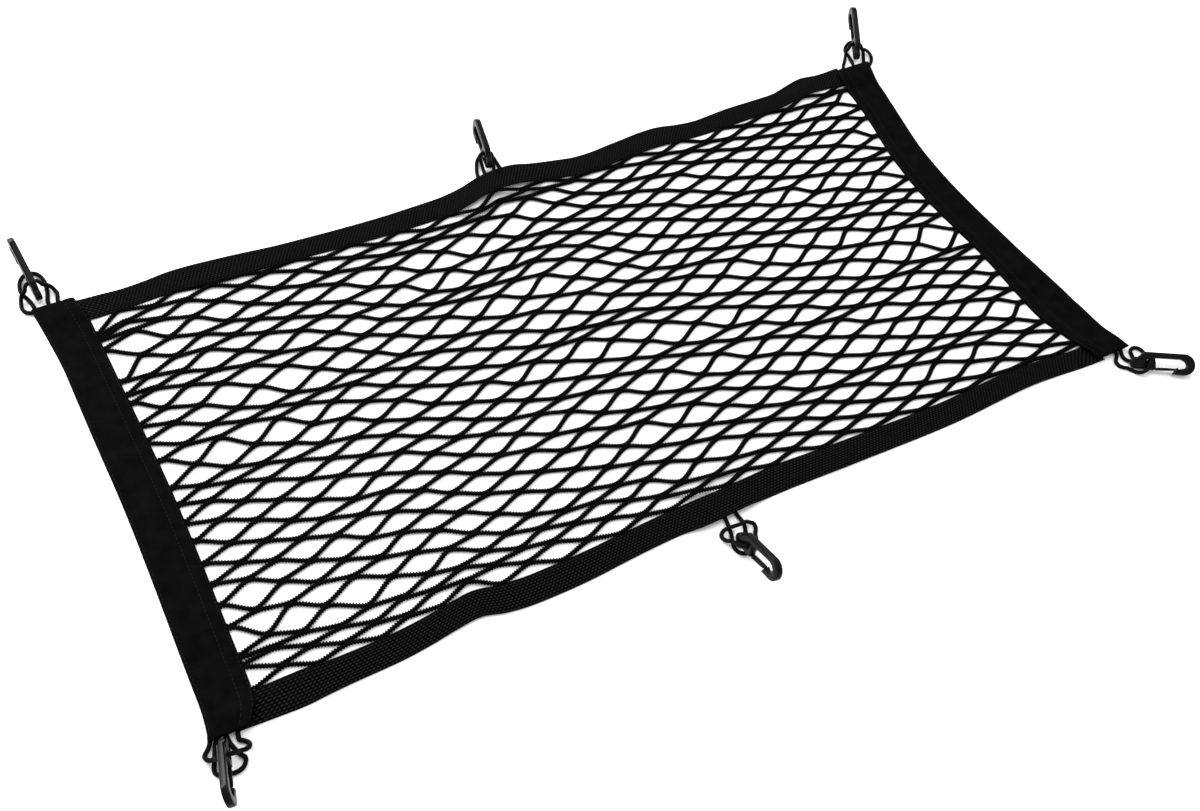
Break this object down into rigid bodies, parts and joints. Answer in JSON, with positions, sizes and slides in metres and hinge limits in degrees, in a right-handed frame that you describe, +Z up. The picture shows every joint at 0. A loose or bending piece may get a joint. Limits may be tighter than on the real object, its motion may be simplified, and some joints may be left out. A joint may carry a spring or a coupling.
{
  "type": "cargo net",
  "caption": "Elastic cargo net of knitted diamond mesh, with cloth sleeves at the ends, webbing along the sides and sprung snap hooks on cord loops, for holding loose loads down.",
  "frame": {"origin": "bottom centre of the whole object's box, on the surface it lies on", "axes": "+X along the net's long side, +Y across it, +Z up off the surface"},
  "size_m": [0.7464, 0.4514, 0.0322],
  "materials": {
    "knitted_cord": "matt knitted elastic cord",
    "sleeve_cloth": "matt plain-woven cloth",
    "elastic_webbing": "matt ribbed elastic webbing",
    "elastic_cord": "braided cover over rubber",
    "moulded_plastic": "smooth moulded, softly glossy"
  },
  "bodies": {
    "net": {"net_mesh": "knitted_cord", "sleeve_left": "sleeve_cloth", "sleeve_right": "sleeve_cloth", "band_far": "elastic_webbing", "band_near": "elastic_webbing", "loop_far_left": "elastic_cord", "loop_far_middle": "elastic_cord", "loop_far_right": "elastic_cord", "loop_near_left": "elastic_cord", "loop_near_middle": "elastic_cord", "loop_near_right": "elastic_cord", "hook_far_left": "moulded_plastic", "hook_far_middle": "moulded_plastic", "hook_far_right": "moulded_plastic", "hook_near_left": "moulded_plastic", "hook_near_middle": "moulded_plastic", "hook_near_right": "moulded_plastic"},
    "gate_far_left": {"gate_far_left": "moulded_plastic"},
    "gate_far_middle": {"gate_far_middle": "moulded_plastic"},
    "gate_far_right": {"gate_far_right": "moulded_plastic"},
    "gate_near_left": {"gate_near_left": "moulded_plastic"},
    "gate_near_middle": {"gate_near_middle": "moulded_plastic"},
    "gate_near_right": {"gate_near_right": "moulded_plastic"}
  },
  "joints": [
    {"name": "gate_far_left_hinge", "type": "hinge", "parent": "net", "child": "gate_far_left", "pos_m": [-0.3611, 0.1998, 0.00783], "axis": [0.9941, 0.1074, -0.0132], "range_deg": [0, 25], "stiffness_Nm_per_rad": 0.08, "springref_deg": -5.73},
    {"name": "gate_far_middle_hinge", "type": "hinge", "parent": "net", "child": "gate_far_middle", "pos_m": [-0.01881, 0.19452, 0.00464], "axis": [0.9757, -0.2011, -0.0872], "range_deg": [0, 25], "stiffness_Nm_per_rad": 0.08, "springref_deg": -5.73},
    {"name": "gate_far_right_hinge", "type": "hinge", "parent": "net", "child": "gate_far_right", "pos_m": [0.33381, 0.19362, 0.00786], "axis": [0.9131, -0.4055, 0.0429], "range_deg": [0, 25], "stiffness_Nm_per_rad": 0.08, "springref_deg": -5.73},
    {"name": "gate_near_left_hinge", "type": "hinge", "parent": "net", "child": "gate_near_left", "pos_m": [-0.35704, -0.18942, 0.01025], "axis": [-0.9734, 0.1353, -0.1851], "range_deg": [0, 25], "stiffness_Nm_per_rad": 0.08, "springref_deg": -5.73},
    {"name": "gate_near_middle_hinge", "type": "hinge", "parent": "net", "child": "gate_near_middle", "pos_m": [-0.01729, -0.20082, 0.01157], "axis": [-0.9705, 0.1183, 0.21], "range_deg": [0, 25], "stiffness_Nm_per_rad": 0.08, "springref_deg": -5.73},
    {"name": "gate_near_right_hinge", "type": "hinge", "parent": "net", "child": "gate_near_right", "pos_m": [0.34547, -0.19204, 0.00368], "axis": [-0.2607, -0.3737, 0.8902], "range_deg": [0, 25], "stiffness_Nm_per_rad": 0.08, "springref_deg": -5.73}
  ]
}
